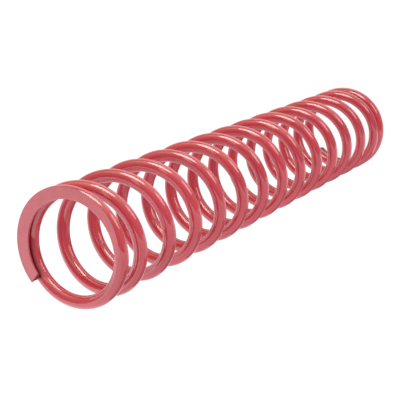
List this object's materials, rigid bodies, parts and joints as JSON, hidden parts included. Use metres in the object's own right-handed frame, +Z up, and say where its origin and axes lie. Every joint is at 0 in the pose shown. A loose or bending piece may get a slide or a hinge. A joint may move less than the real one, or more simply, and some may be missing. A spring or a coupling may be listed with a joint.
{
  "type": "balance spring",
  "caption": "Right-hand compression spring of round steel wire, closed and ground flat at both ends, painted gloss red, that balances the boom of an automatic barrier.",
  "frame": {"origin": "centre of the coil, on the plane of the lower ground seat", "axes": "+Z up the coil's axis from the lower seat to the upper one, +X towards the upper tip of the wire"},
  "size_m": [0.055, 0.055, 0.313],
  "materials": {
    "red_paint": "gloss red paint over the whole wire, ground faces included"
  },
  "bodies": {
    "root": {"balance_spring": "red_paint"}
  },
  "joints": []
}
